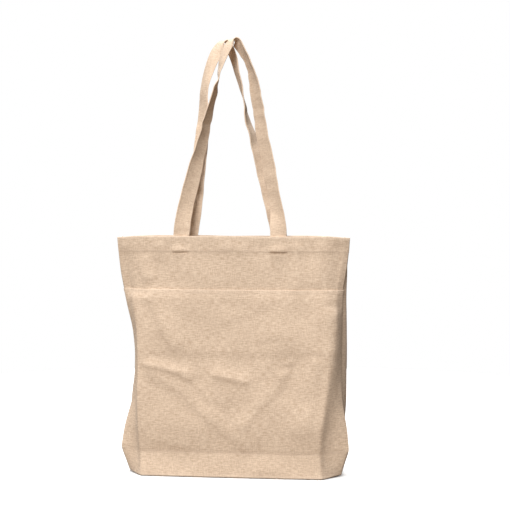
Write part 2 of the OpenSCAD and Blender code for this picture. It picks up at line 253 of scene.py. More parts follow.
def plan(z, s):
    """One face of the bag in plan at each of the heights z, seam to seam: arrays of x and y, one row a height."""
    z = np.asarray(z, float)
    a = np.stack([at("seam_left", z), np.full_like(z, 0.55)], -1)
    d = np.stack([at("seam_right", z), np.full_like(z, 0.55)], -1)
    dep = at("depth", z)
    b = np.stack([at("front_left" if s < 0 else "back_left", z), dep + (at("full_left", z) if s < 0 else 0)], -1)
    c = np.stack([at("front_right" if s < 0 else "back_right", z), dep + (at("full_right", z) if s < 0 else 0)], -1)
    tuck_a, tuck_d = at("tuck_left", z), at("tuck_right", z)
    if s > 0:
        tuck_a, tuck_d = tuck_a * 0.8, tuck_d * 0.5
    soft = ease((z - 150) / 170)
    start, edge = mix(0.86, 0.60, soft)[:, None], mix(0.009, 0.034, soft)[:, None]

    def bend(p, q, r, t):
        return mix(mix(p, q, t), mix(q, r, t), t)

    def side(p, q, t, tuck, sign):
        """A point on the folded side from seam p to fold q, pressed in towards the middle of the bag."""
        t = t if isinstance(t, np.ndarray) else np.full((len(p), 1), t)
        out = mix(p, q, t)
        run = q - p
        n = np.stack([run[:, 1] * sign, -run[:, 0] * sign], -1)
        n /= np.linalg.norm(n, axis=1)[:, None]
        return out - n * tuck[:, None] * np.sin(math.pi * np.minimum(t / 0.97, 1.0) ** 1.7)

    rows = []
    fin = 1.2 + 6.8 * ease((z - 2) / 14)
    for kind, t in COLUMNS:
        if kind in ("fin", "fin2"):
            p, sign = (a, 1) if kind == "fin" else (d, -1)
            rows.append(p + np.stack([sign * t / 8.0 * fin, np.zeros_like(z)], -1))
        elif kind == "turn":
            rows.append(a + np.array([0.0, 0.1]))
        elif kind == "turn2":
            rows.append(d + np.array([0.0, 0.1]))
        elif kind == "side":
            rows.append(side(a, b, start * (t / 0.6), tuck_a, -1))
        elif kind == "side2":
            rows.append(side(d, c, start * (t / 0.6), tuck_d, 1))
        elif kind == "bend":
            rows.append(bend(side(a, b, start, tuck_a, -1), b, mix(b, c, edge), t))
        elif kind == "bend2":
            rows.append(bend(mix(c, b, edge), c, side(d, c, start, tuck_d, 1), t))
        else:
            rows.append(mix(b, c, edge + (1 - 2 * edge) * t))
    p = np.stack(rows, 1)
    x, y = p[..., 0], p[..., 1]
    v = np.minimum(1, np.abs(2 * (x - b[:, :1]) / (c[:, :1] - b[:, :1]) - 1))
    y = y + at("swell", z)[:, None] * (1 - v ** 2.5)
    # round off what the joins between the pieces of the line leave, away from the seams
    for _ in range(2):
        for g in (x, y):
            g[:, 7:-7] = 0.5 * g[:, 7:-7] + 0.25 * (g[:, 6:-8] + g[:, 8:-6])
    return x, s * y


def unit(v):
    return v / np.maximum(np.linalg.norm(v, axis=-1, keepdims=True), 1e-9)


def grid_normals(p, flip):
    du, dv = np.gradient(p, axis=1), np.gradient(p, axis=0)
    n = unit(np.cross(du, dv))
    return -n if flip else n


BASE_R = 2.6


def wall_heights():
    low = [BASE_R, 4.5, 7, 10, 13, 16, 19, 22, 25, 28, 31, 34, 37, 39.5, 41.5, 43, 44, 45, 46.5, 48.5]
    return np.array(low + list(np.arange(50.5, 362.0, 2.2)) + [362.2, 363.2, 363.9, 364.6, 366] + list(np.arange(368.2, 388.0, 2.1)) + [388.0])


def body_surface(s):
    """The middle of the cloth of one panel: rows from the middle of the base, out to the bottom edge and up to the rim."""
    walls = wall_heights()
    shares = [0.0, 0.12, 0.25, 0.4, 0.55, 0.7, 0.83, 0.93]
    turns = [math.radians(a) for a in (0, 22, 45, 68)]
    look = np.concatenate([np.zeros(len(shares) + len(turns)), walls])
    x, y = plan(look, s)
    z = np.repeat(look[:, None], NC, 1)
    h = CANVAS / 2
    u = np.cumsum(np.concatenate([np.zeros((len(look), 1)), np.hypot(np.diff(x), np.diff(y))], 1), 1)
    u -= u[:, [NC // 2]]
    bump = relief(x, z, u, s)
    t = unit(np.stack([np.gradient(x, axis=1), np.gradient(y, axis=1)], -1))
    nx, ny = -s * t[..., 1], s * t[..., 0]
    calm = np.ones(NC)
    calm[:5] = calm[-5:] = 0
    calm[5:12] = np.linspace(0.15, 0.9, 7)
    calm[-12:-5] = np.linspace(0.9, 0.15, 7)
    x, y = x + nx * bump * calm, y + ny * bump * calm
    # bottom edge: the wall's foot is drawn in round a small radius, then runs to the middle
    n0 = len(shares)
    inset = np.zeros(len(look))
    zz = z.copy()
    foot = np.zeros((1, NC))
    for i in range(len(shares)):
        inset[i] = BASE_R
        zz[i] = h
    for i, a in enumerate(turns):
        inset[n0 + i] = BASE_R * (1 - math.sin(a))
        zz[n0 + i] = h + (BASE_R - h) * (1 - math.cos(a))
    inner = np.zeros(NC)
    inner[5:-5] = 1
    x -= nx * inset[:, None] * inner
    y -= ny * inset[:, None] * inner
    for i, k in enumerate(shares):
        y[i] = mix(s * 0.55, y[i], k)
        # a lift of the base off the ground between its edges, multiplied by zero here so that it adds nothing
        zz[i] += 0.5 * math.sin(math.pi * k) * ease((150 - np.abs(x[i])) / 60) * foot[0] * 0
    # the rim dips at its corners and wavers slightly
    rise = ease((zz - 330) / 59)
    zz -= rise * (2.6 * ease((np.abs(x) - 150) / 40) + 0.35 * np.sin(x / 31 + s) + 0.25 * np.sin(x / 13.0 + 2 * s))
    # the left of the bottom edge is hardly off the ground, the seam corners a little more
    zz += ease((60 - zz) / 60) * 1.4 * ease((np.abs(x) - 152) / 22)
    p = np.stack([x, y, zz], -1)
    return p, u, look


def thick_at(z):
    return CANVAS / 2 + HEM_STEP * ease((z - 363.0) / 1.6)


def grid_faces(rows, cols, offset=0, flip=False):
    i, j = np.meshgrid(np.arange(rows - 1), np.arange(cols - 1), indexing="ij")
    a = offset + i * cols + j
    q = np.stack([a, a + 1, a + cols + 1, a + cols], -1).reshape(-1, 4)
    return q[:, ::-1] if flip else q


def make(name, verts, faces, materials, attributes=None, smooth=True, weld=1e-5, normals=None):
    mesh = bpy.data.meshes.new(name)
    # the cloth settles a little towards the ground round the crease of the boxed bottom
    verts = np.array(verts, float)
    verts[:, 2] -= SETTLE * np.exp(-((verts[:, 2] - POCKET_BOTTOM) / 20.0) ** 2) * ease(verts[:, 2] / 14.0)
    mesh.from_pydata((verts * 0.001).tolist(), [], [list(map(int, f)) for f in faces])
    for key, values in (attributes or {}).items():
        values = np.asarray(values, np.float32)
        if values.ndim == 2:
            mesh.attributes.new(key, "FLOAT_VECTOR", "POINT").data.foreach_set("vector", values.ravel())
        else:
            mesh.attributes.new(key, "FLOAT", "POINT").data.foreach_set("value", values)
    if weld:
        b = bmesh.new()
        b.from_mesh(mesh)
        bmesh.ops.remove_doubles(b, verts=b.verts, dist=weld)
        bmesh.ops.dissolve_degenerate(b, edges=b.edges, dist=weld)
        b.to_mesh(mesh)
        b.free()
    mesh.update()
    mesh.polygons.foreach_set("use_smooth", [smooth] * len(mesh.polygons))
    if normals is not None:
        mesh.normals_split_custom_set_from_vertices([tuple(n) for n in normals])
    o = bpy.data.objects.new(name, mesh)
    bpy.context.scene.collection.objects.link(o)
    for m in materials if isinstance(materials, (list, tuple)) else [materials]:
        mesh.materials.append(m)
    return o


# ---------------------------------------------------------------- materials
def node(tree, kind, at_=(0, 0), **values):
    n = tree.nodes.new(kind)
    for k, v in values.items():
        setattr(n, k, v)
    return n


def math_node(tree, op, a, b=None, c=None):
    n = tree.nodes.new("ShaderNodeMath")
    n.operation = op
    for i, v in enumerate((a, b, c)):
        if v is None:
            continue
        if isinstance(v, (int, float)):
            n.inputs[i].default_value = v
        else:
            tree.links.new(v, n.inputs[i])
    return n.outputs[0]


def mix_colour(tree, factor, a, b, blend="MIX"):
    n = tree.nodes.new("ShaderNodeMix")
    n.data_type, n.blend_type, n.clamp_factor = "RGBA", blend, True
    for i, v in ((0, factor), (6, a), (7, b)):
        if isinstance(v, (int, float)):
            n.inputs[i].default_value = v
        elif isinstance(v, tuple):
            n.inputs[i].default_value = (*v, 1.0)
        else:
            tree.links.new(v, n.inputs[i])
    return n.outputs[2]


def noise(tree, vector, scale, detail=2.0, rough=0.5):
    n = tree.nodes.new("ShaderNodeTexNoise")
    n.inputs["Scale"].default_value = scale
    n.inputs["Detail"].default_value = detail
    n.inputs["Roughness"].default_value = rough
    tree.links.new(vector, n.inputs["Vector"])
    return n.outputs["Fac"]


def stretched(tree, vector, scale):
    n = tree.nodes.new("ShaderNodeVectorMath")
    n.operation = "MULTIPLY"
    tree.links.new(vector, n.inputs[0])
    n.inputs[1].default_value = scale
    return n.outputs[0]


def spread(tree, value, low, high, to_low=0.0, to_high=1.0):
    n = tree.nodes.new("ShaderNodeMapRange")
    n.clamp = True
    tree.links.new(value, n.inputs["Value"])
    for k, v in (("From Min", low), ("From Max", high), ("To Min", to_low), ("To Max", to_high)):
        n.inputs[k].default_value = v
    return n.outputs["Result"]


def canvas_material(name, colour, dark, pale, pitch=0.00092, weave=0.55, slub=1.0, seed=0.0):
    """Plain-woven cotton canvas: two sets of threads over and under each other, uneven yarn, flecks, and edges painted
    paler: rubbed wear, with a painted highlight where edges and creases catch the light.
    """
    m = bpy.data.materials.new(name)
    m.use_nodes = True
    t = m.node_tree
    t.nodes.clear()
    out = node(t, "ShaderNodeOutputMaterial")
    bsdf = node(t, "ShaderNodeBsdfPrincipled")
    t.links.new(bsdf.outputs[0], out.inputs["Surface"])
    cloth = node(t, "ShaderNodeAttribute", attribute_name="cloth")
    wear_and_highlight = node(t, "ShaderNodeAttribute", attribute_name="wear_and_highlight")
    vec = node(t, "ShaderNodeVectorMath", operation="ADD")
    vec.inputs[1].default_value = (seed, seed * 0.7, 0)
    t.links.new(cloth.outputs["Vector"], vec.inputs[0])
    p = vec.outputs[0]
    sep = node(t, "ShaderNodeSeparateXYZ")
    t.links.new(p, sep.inputs[0])
    # threads that wander a little
    du = noise(t, stretched(t, p, (300, 20, 0)), 1.0, 1.0)
    dv = noise(t, stretched(t, p, (16, 360, 0)), 1.0, 1.0)
    u = math_node(t, "MULTIPLY_ADD", sep.outputs[0], 1 / pitch, math_node(t, "MULTIPLY", du, 0.9))
    v = math_node(t, "MULTIPLY_ADD", sep.outputs[1], 1 / (pitch * 0.94), math_node(t, "MULTIPLY", dv, 0.9))
    su = math_node(t, "SINE", math_node(t, "MULTIPLY", u, math.pi))
    sv = math_node(t, "SINE", math_node(t, "MULTIPLY", v, math.pi))
    a, b = math_node(t, "ABSOLUTE", su), math_node(t, "ABSOLUTE", sv)
    over = math_node(t, "GREATER_THAN", math_node(t, "MULTIPLY", su, sv), 0.0)
    warp = math_node(t, "MULTIPLY", a, math_node(t, "POWER", b, 0.45))
    weft = math_node(t, "MULTIPLY", b, math_node(t, "POWER", a, 0.45))
    thread = math_node(t, "ADD", math_node(t, "MULTIPLY", warp, over), math_node(t, "MULTIPLY", weft, math_node(t, "SUBTRACT", 1.0, over)))
    # thick and thin yarn: long across, shorter up
    slub_across = noise(t, stretched(t, p, (110, 600, 0)), 1.0, 1.5, 0.5)
    slub_up = noise(t, stretched(t, p, (560, 120, 0)), 1.0, 1.5, 0.5)
    patch = noise(t, stretched(t, p, (14, 14, 0)), 1.0, 3.0, 0.55)
    fine = noise(t, stretched(t, p, (900, 900, 0)), 1.0, 2.0, 0.6)
    grain = noise(t, stretched(t, p, (420, 760, 0)), 1.0, 1.0, 0.5)
    fleck = noise(t, stretched(t, p, (430, 620, 0)), 1.0, 1.0, 0.5)
    colour_out = mix_colour(t, spread(t, slub_across, 0.32, 0.68), dark, pale)
    colour_out = mix_colour(t, 0.42, colour_out, colour)
    colour_out = mix_colour(t, spread(t, grain, 0.47, 0.36, 0.0, 0.20), colour_out, dark)
    colour_out = mix_colour(t, spread(t, grain, 0.53, 0.64, 0.0, 0.20), colour_out, pale)
    colour_out = mix_colour(t, spread(t, slub_up, 0.52, 0.68, 0.0, 0.30), colour_out, pale)
    colour_out = mix_colour(t, spread(t, slub_up, 0.48, 0.32, 0.0, 0.30), colour_out, dark)
    colour_out = mix_colour(t, spread(t, patch, 0.42, 0.30, 0.0, 0.05), colour_out, dark)
    colour_out = mix_colour(t, spread(t, patch, 0.55, 0.70, 0.0, 0.05), colour_out, pale)
    gap = spread(t, thread, 0.42, 0.05, 0.0, 0.42)
    deep = tuple(c * k for c, k in zip(dark, (0.66, 0.60, 0.54)))
    colour_out = mix_colour(t, gap, colour_out, deep)
    colour_out = mix_colour(t, spread(t, fleck, 0.755, 0.80, 0.0, 0.5), colour_out, tuple(c * k for c, k in zip(dark, (0.52, 0.44, 0.36))))
    # edges and creases painted paler: partly rubbed wear, partly a painted highlight where they catch the light
    rubbed_and_highlight = math_node(t, "MULTIPLY", wear_and_highlight.outputs["Fac"], spread(t, fine, 0.35, 0.62, 0.35, 1.0))
    colour_out = mix_colour(t, math_node(t, "MULTIPLY", rubbed_and_highlight, 0.55), colour_out, tuple(min(1, c * k) for c, k in zip(pale, (1.06, 1.07, 1.1))))
    t.links.new(colour_out, bsdf.inputs["Base Color"])
    t.links.new(spread(t, math_node(t, "ADD", fine, math_node(t, "MULTIPLY", thread, 0.3)), 0.3, 1.1, 0.97, 0.80), bsdf.inputs["Roughness"])
    bsdf.inputs["Sheen Weight"].default_value = 0.12
    bsdf.inputs["Sheen Roughness"].default_value = 0.55
    bsdf.inputs["Specular IOR Level"].default_value = 0.22
    height = math_node(t, "ADD", math_node(t, "MULTIPLY", thread, weave),
                       math_node(t, "ADD", math_node(t, "MULTIPLY", slub_across, 0.7 * slub), math_node(t, "MULTIPLY", slub_up, 0.5 * slub)))
    height = math_node(t, "ADD", height, math_node(t, "MULTIPLY", fine, 0.25))
    bump = node(t, "ShaderNodeBump")
    bump.inputs["Strength"].default_value = 0.5
    bump.inputs["Distance"].default_value = 0.00030
    t.links.new(height, bump.inputs["Height"])
    t.links.new(bump.outputs[0], bsdf.inputs["Normal"])
    return m


def thread_material(name, colour, dark):
    """Plied sewing thread: fine slanting grooves along each stitch."""
    m = bpy.data.materials.new(name)
    m.use_nodes = True
    t = m.node_tree
    bsdf = t.nodes["Principled BSDF"]
    cloth = node(t, "ShaderNodeAttribute", attribute_name="cloth")
    p = cloth.outputs["Vector"]
    sep = node(t, "ShaderNodeSeparateXYZ")
    t.links.new(p, sep.inputs[0])
    ply = math_node(t, "SINE", math_node(t, "MULTIPLY", math_node(t, "ADD", sep.outputs[0], math_node(t, "MULTIPLY", sep.outputs[1], 1.4)), 2 * math.pi / 0.00038))
    tone = noise(t, stretched(t, p, (70, 70, 70)), 1.0, 2.0)
    col = mix_colour(t, spread(t, ply, -1.0, 0.2, 0.6, 0.0), colour, dark)
    col = mix_colour(t, spread(t, tone, 0.3, 0.6, 0.35, 0.0), col, dark)
    t.links.new(col, bsdf.inputs["Base Color"])
    t.links.new(spread(t, ply, -1, 1, 0.75, 0.55), bsdf.inputs["Roughness"])
    bsdf.inputs["Sheen Weight"].default_value = 0.1
    bump = node(t, "ShaderNodeBump")
    bump.inputs["Strength"].default_value = 0.4
    bump.inputs["Distance"].default_value = 0.0001
    t.links.new(ply, bump.inputs["Height"])
    t.links.new(bump.outputs[0], bsdf.inputs["Normal"])
    return m


BASE = (0.655, 0.505, 0.378)
DARK = (0.47, 0.335, 0.232)
PALE = (0.83, 0.67, 0.52)
CLOTH = canvas_material("canvas_body", BASE, DARK, PALE)
CLOTH_POCKET = canvas_material("canvas_pocket", tuple(c * 0.985 for c in BASE), DARK, PALE, seed=3.1)
CLOTH_STRAP = canvas_material("canvas_strap", tuple(c * 1.22 for c in BASE), tuple(c * 1.29 for c in DARK), tuple(c * 1.13 for c in PALE), pitch=0.00085, weave=0.6, slub=0.8, seed=7.7)
CLOTH_EDGE = canvas_material("canvas_raw_edge", tuple(c * 0.97 for c in BASE), DARK, PALE, pitch=0.0009, weave=0.7, seed=1.3)
THREAD = thread_material("sewing_thread", (0.70, 0.565, 0.44), (0.53, 0.39, 0.28))


# ---------------------------------------------------------------- panels
SURFACE = {}


def edge_wear_and_highlight(p, u, z):
    """How much paler the cloth is painted: rubbed wear at the bottom edge, the rim and the hem's fold line, and a
    painted highlight along the crease of the boxed bottom where its ridge catches the light.
    """
    wear_and_highlight = 0.8 * np.exp(-0.5 * ((z - 1.5) / 2.0) ** 2) + 0.7 * np.exp(-0.5 * ((z - 387.5) / 1.6) ** 2)
    # the crease at the pocket's foot: a painted highlight on its ridge; the hem's fold line: rubbed wear
    wear_and_highlight += 0.45 * np.exp(-0.5 * ((z - 44.0) / 1.6) ** 2) + 0.3 * np.exp(-0.5 * ((z - 364.2) / 0.9) ** 2)
    return np.clip(wear_and_highlight, 0, 1)


def panel(name, s, cad_node):
    p, u, look = body_surface(s)
    n = grid_normals(p, s > 0)
    t = thick_at(look)[:, None, None]
    outer, inner = p + n * t, p - n * t
    up = np.array([0.0, 0.0, 1.0])
    cap = []
    for a in (35, 70, 110, 145):
        a = math.radians(a)
        cap.append(p[-1] + n[-1] * t[-1] * math.cos(a) + up * t[-1] * math.sin(a))
    rows = np.concatenate([outer, np.stack(cap), inner[::-1]], 0)
    total, nr = len(rows), len(look)
    faces = [grid_faces(total, NC, flip=s > 0)]
    # close the two side edges and the middle of the base
    i = np.arange(nr - 1)
    for col, turn in ((0, False), (NC - 1, True)):
        a, b = i * NC + col, (i + 1) * NC + col
        c, d = (total - 2 - i) * NC + col, (total - 1 - i) * NC + col
        q = np.stack([a, b, c, d], -1)
        faces.append(q[:, ::-1] if turn != (s > 0) else q)
        ring = [(nr - 1 + k) * NC + col for k in range(len(cap) + 2)]
        faces.append(np.array([[ring[0], ring[1], ring[4], ring[5]], [ring[1], ring[2], ring[3], ring[4]]])[:, ::(-1 if turn != (s > 0) else 1)])
    j = np.arange(NC - 1)
    q = np.stack([j, (total - 1) * NC + j, (total - 1) * NC + j + 1, j + 1], -1)
    faces.append(q[:, ::-1] if s > 0 else q)
    run = np.concatenate([np.zeros((1, NC)), np.cumsum(np.linalg.norm(np.diff(p, axis=0), axis=-1), 0)], 0)
    v = np.repeat(run[:, [NC // 2]], NC, 1)
    cloth_outer = np.stack([u, v, np.zeros_like(u)], -1)
    top = cloth_outer[-1:]
    cloth = np.concatenate([cloth_outer] + [top + np.array([0, 0.4 * (k + 1), 0]) for k in range(4)] + [cloth_outer[::-1] + np.array([40, 3, 0])], 0)
    wear_and_highlight_outer = edge_wear_and_highlight(p, u, look[:, None] * np.ones_like(u))
    wear_and_highlight = np.concatenate([wear_and_highlight_outer] + [np.full((1, NC), 0.75)] * 4 + [wear_and_highlight_outer[::-1] * 0.6], 0)
    SURFACE[s] = dict(p=p, n=n, look=look, outer=outer, inner=inner)
    o = make(name, rows.reshape(-1, 3), np.concatenate(faces), CLOTH,
             dict(cloth=cloth.reshape(-1, 3) * 0.001, wear_and_highlight=wear_and_highlight.ravel()))
    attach(o, "bag")
    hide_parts(cad_node)
    return o


front = panel("front_panel_cloth", -1, "front_panel")
back = panel("back_panel_cloth", 1, "back_panel")


def wall_row(s, z, layer="outer"):
    """The cloth's surface along one height: points and outward directions, seam to seam."""
    d = SURFACE[s]
    first = int(np.argmax(d["look"] > 0))
    look = d["look"][first:]
    k = int(np.clip(np.searchsorted(look, z) - 1, 0, len(look) - 2))
    t = (z - look[k]) / (look[k + 1] - look[k])
    g = d[layer][first:]
    return mix(g[k], g[k + 1], t), unit(mix(d["n"][first:][k], d["n"][first:][k + 1], t))


def depth_at(x, z, s, layer="p"):
    """y of the cloth's middle at x and height z."""
    row, _ = wall_row(s, z, layer)
    face = row[12:-12]
    return float(np.interp(x, face[:, 0], face[:, 1]))


# ---------------------------------------------------------------- stitches
def stitch_shape():
    """One stitch: a short fat thread that dips into the cloth at both ends. Along X, up Z, length and width 1."""
    rings, sides = [], 6
    for t in np.linspace(-1, 1, 6):
        r = math.sqrt(max(0.0, 1 - abs(t) ** 3)) * 0.5 + 0.05
        z = 0.45 * (1 - t * t) - 0.28
        rings.append([(t * 0.5, r * math.cos(a), z + r * math.sin(a)) for a in np.linspace(0, 2 * math.pi, sides, endpoint=False)])
    v = np.array(rings).reshape(-1, 3)
    f = [[i * sides + j, i * sides + (j + 1) % sides, (i + 1) * sides + (j + 1) % sides, (i + 1) * sides + j] for i in range(5) for j in range(sides)]
    return v, f + [list(range(sides))[::-1], [5 * sides + j for j in range(sides)]]


STITCH_V, STITCH_F = stitch_shape()


def place_stitches(lines, pitch=3.4, length=2.6, thick=0.62, seed=1):
    """lines: (points, normals) pairs. Returns vertices, faces and cloth coordinates of a row of stitches along each."""
    rng = np.random.default_rng(seed)
    verts, faces, cloth = [], [], []
    count = 0
    for points, normals in lines:
        points, normals = np.asarray(points, float), np.asarray(normals, float)
        s = np.concatenate([[0], np.cumsum(np.linalg.norm(np.diff(points, axis=0), axis=1))])
        if s[-1] < pitch:
            continue
        k = int(s[-1] / pitch)
        for c in (np.arange(k) + 0.5) * s[-1] / k:
            where = [np.array([np.interp(c + d, s, points[:, i]) for i in range(3)]) for d in (-length / 2, 0, length / 2)]
            run = unit(where[2] - where[0])
            n = np.array([np.interp(c, s, normals[:, i]) for i in range(3)])
            n = unit(n - run * (n @ run))
            side = np.cross(n, run)
            skew = rng.normal(0, 0.05)
            run, side = run * math.cos(skew) + side * math.sin(skew), side * math.cos(skew) - run * math.sin(skew)
            l, w = length * rng.uniform(0.93, 1.05), thick * rng.uniform(0.92, 1.08)
            base = where[1] + n * (0.02 + rng.normal(0, 0.015))
            verts.append(base + STITCH_V[:, :1] * run * l + STITCH_V[:, 1:2] * side * w + STITCH_V[:, 2:] * n * w)
            cloth.append(np.stack([STITCH_V[:, 0] * l + c, STITCH_V[:, 1] * w, STITCH_V[:, 2] * w], 1))
            faces += [[i + count for i in f] for f in STITCH_F]
            count += len(STITCH_V)
    return np.concatenate(verts), faces, np.concatenate(cloth) * 0.001


def stitches(name, lines, **kw):
    v, f, c = place_stitches(lines, **kw)
    return make(name, v, f, THREAD, dict(cloth=c), weld=0)


def hem_row(s, z):
    pts, n = wall_row(s, z)
    return pts[6:-6], n[6:-6]


for s, side in ((-1, "front"), (1, "back")):
    o = stitches(f"{side}_hem_stitches", [hem_row(s, RIM - HEM + 2.2)], seed=11 + s)
    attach(o, "bag"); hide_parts(f"{side}_hem_stitching")

pts, nrm = wall_row(-1, 42.2)
o = stitches("pocket_bottom_stitches", [(pts[6:-6], nrm[6:-6])], seed=21)
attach(o, "bag"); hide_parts("pocket_bottom_stitching")


# ---------------------------------------------------------------- pocket
def pocket_surface():
    zs = np.concatenate([[44.0, 45.0, 46.5, 48.5], np.arange(50.5, 292.0, 2.2), [293.5, 295.3, 296.4, 297.2, 298.4, 300.2, 302.2]])
    d = SURFACE[-1]
    first = int(np.argmax(d["look"] > 0))
    look = d["look"][first:]
    cols = slice(4, NC - 4)
    p = np.zeros((len(zs), NC - 8, 3))
    n = np.zeros_like(p)
    for k, z in enumerate(zs):
        a, b = wall_row(-1, z, "p")
        p[k], n[k] = a[cols], b[cols]
    nc = p.shape[1]
    across = np.minimum(1, np.abs(p[..., 0]) / 160.0)
    stand = 1.22 * (0.45 + 0.55 * ease((zs - 44) / 5))[:, None] * np.ones(nc)
    # sewn into the side seam at both ends
    tie = np.ones(nc)
    tie[:6] = np.linspace(0.78, 1, 6)
    tie[-6:] = np.linspace(1, 0.78, 6)
    mouth = ease((zs - 262) / 41)[:, None] * (1 - across ** 3)
    stand = stand * tie + 0.7 * mouth * (1 + 0.35 * np.sin(p[..., 0] / 23.0) + 0.2 * np.sin(p[..., 0] / 9.1 + 1))
    return p + n * stand[..., None], zs


def pocket():
    p, zs = pocket_surface()
    nr, nc = p.shape[:2]
    n = grid_normals(p, False)
    half = (CANVAS / 2 + 0.42 * ease((zs - 296.2) / 1.2))[:, None, None]
    outer = p + n * half * np.where(zs > 296, 1.0, 1.0)[:, None, None]
    inner = p - n * (CANVAS / 2)
    up = np.array([0.0, 0.0, 1.0])
    top_mid, top_r = (outer[-1] + inner[-1]) / 2, np.linalg.norm(outer[-1] - inner[-1], axis=1)[:, None] / 2
    low_mid, low_r = (outer[0] + inner[0]) / 2, np.linalg.norm(outer[0] - inner[0], axis=1)[:, None] / 2
    foot = [low_mid - n[0] * low_r * math.cos(math.radians(a)) - up * low_r * math.sin(math.radians(a)) for a in (45, 90, 135)]
    cap = [top_mid + n[-1] * top_r * math.cos(math.radians(a)) + up * top_r * math.sin(math.radians(a)) for a in (35, 70, 110, 145)]
    rows = np.concatenate([np.stack(foot), outer, np.stack(cap), inner[::-1]], 0)
    dirs = np.concatenate([np.stack([unit(f - low_mid) for f in foot]), n, np.stack([unit(c - top_mid) for c in cap]), -n[::-1]], 0)
    total = len(rows)
    u = np.concatenate([np.zeros((nr, 1)), np.cumsum(np.linalg.norm(np.diff(p, axis=1), axis=-1), 1)], 1)
    mid = int(np.argmin(np.abs(p[:, :, 0].mean(0))))
    u -= u[:, [mid]]
    v = np.repeat(zs[:, None], nc, 1)
    body = np.stack([u, v, np.zeros_like(u)], -1)
    cloth = np.concatenate([body[:1] - np.array([0, 0.4 * k, 0]) for k in (3, 2, 1)] + [body] + [body[-1:] + np.array([0, 0.4 * k, 0]) for k in (1, 2, 3, 4)] + [body[::-1] + np.array([30, 7, 0])], 0)
    # a painted highlight along the pocket's top edge and the crease at its foot, where they catch the light, and rubbed
    # wear along its hem's stitch line
    w = np.clip(0.8 * np.exp(-0.5 * ((v - 302.4) / 1.3) ** 2) + 0.3 * np.exp(-0.5 * ((v - 297) / 0.9) ** 2) + 0.5 * np.exp(-0.5 * ((v - 44.5) / 1.5) ** 2), 0, 1)
    wear_and_highlight = np.concatenate([w[:1] * 1.0] * 3 + [w] + [w[-1:]] * 4 + [w[::-1] * 0.5], 0)
    made = []
    for name, cols in (("pocket_left_half", slice(0, mid + 1)), ("pocket_right_half", slice(mid, nc))):
        g, gd, gc, gw = rows[:, cols], dirs[:, cols], cloth[:, cols], wear_and_highlight[:, cols]
        m = g.shape[1]
        faces = [grid_faces(total, m)]
        j = np.arange(m - 1)
        faces.append(np.stack([j, (total - 1) * m + j, (total - 1) * m + j + 1, j + 1], -1))
        # the raw side edge inside the seam, and the middle, where the halves meet
        faces = [list(f) for block in faces for f in block]
        for col, turn in ((0, 1), (m - 1, -1)):
            for i in range(nr - 1):
                faces.append([(3 + i) * m + col, (4 + i) * m + col, (total - 2 - i) * m + col, (total - 1 - i) * m + col][::turn])
            faces.append([k * m + col for k in (total - 1, 0, 1, 2, 3)][::turn])
            faces.append([(2 + nr + k) * m + col for k in range(6)][::turn])
        o = make(name, g.reshape(-1, 3), faces, CLOTH_POCKET, dict(cloth=gc.reshape(-1, 3) * 0.001, wear_and_highlight=gw.ravel()), weld=0, normals=gd.reshape(-1, 3))
        edge = -0.165 if "left" in name else 0.165
        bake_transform(o)
        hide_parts("front_pocket")
        made.append(o)
    # its hem's stitches, in the same two halves
    k = int(np.searchsorted(zs, 298.4))
    line, dirn = outer[k], n[k]
    for name, cols, edge in (("pocket_hem_stitches_left", slice(3, mid + 1), -0.165), ("pocket_hem_stitches_right", slice(mid, nc - 3), 0.165)):
        o = stitches(name, [(line[cols], dirn[cols])], seed=31 + (edge > 0))
        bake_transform(o)
        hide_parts("pocket_hem_stitching")
    return made


pocket_left, pocket_right = pocket()


# ---------------------------------------------------------------- side and bottom seams: the raw edges inside, the side ones oversewn
def seam(name, side, cad_node):
    table = "seam_left" if side < 0 else "seam_right"
    zs = np.linspace(4, RIM - 1.6, 180)
    x = at(table, zs)
    fin = 1.2 + 6.8 * ease((zs - 2) / 14)
    edge = x - side * fin
    verts, faces = [], []
    rings = 10
    # a soft bead of bound raw edge that runs down the inside
    wob = 0.22 * np.sin(zs / 2.3) + 0.12 * np.sin(zs / 0.9)
    for i, z in enumerate(zs):
        for k in range(rings):
            a = 2 * math.pi * k / rings
            verts.append([edge[i] - side * (0.5 + wob[i] * 0.5) + 1.15 * math.cos(a), (1.25 + 0.15 * math.sin(z / 1.7)) * math.sin(a), z])
    g = np.array(verts)
    for i in range(len(zs) - 1):
        for k in range(rings):
            a, b = i * rings + k, i * rings + (k + 1) % rings
            faces.append([a, b, b + rings, a + rings])
    faces += [list(range(rings))[::-1], [(len(zs) - 1) * rings + k for k in range(rings)]]
    cloth = np.stack([np.tile(np.linspace(0, 7, rings), len(zs)), np.repeat(zs, rings), np.zeros(len(verts))], 1) * 0.001
    o = make(name, g, faces, CLOTH_EDGE, dict(cloth=cloth, wear_and_highlight=np.full(len(g), 0.25)), weld=0)
    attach(o, "bag"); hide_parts(cad_node)
    # overlock loops round the bead
    lines = []
    for z in np.arange(8, RIM - 4, 3.0):
        xe = float(np.interp(z, zs, edge)) - side * 0.5
        a = np.linspace(-2.2, 2.2, 9)
        loop = np.stack([xe - side * 1.45 * np.cos(a), 1.6 * np.sin(a), z + a * 0.35], 1)
        lines.append((loop, np.stack([-side * np.cos(a), np.sin(a), 0 * a], 1)))
    o = stitches(name.replace("edges", "overlock"), lines, pitch=2.4, length=2.2, thick=0.42, seed=41 + side)
    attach(o, "bag")


seam("left_seam_edges", -1, "left_side_seam")
seam("right_seam_edges", 1, "right_side_seam")

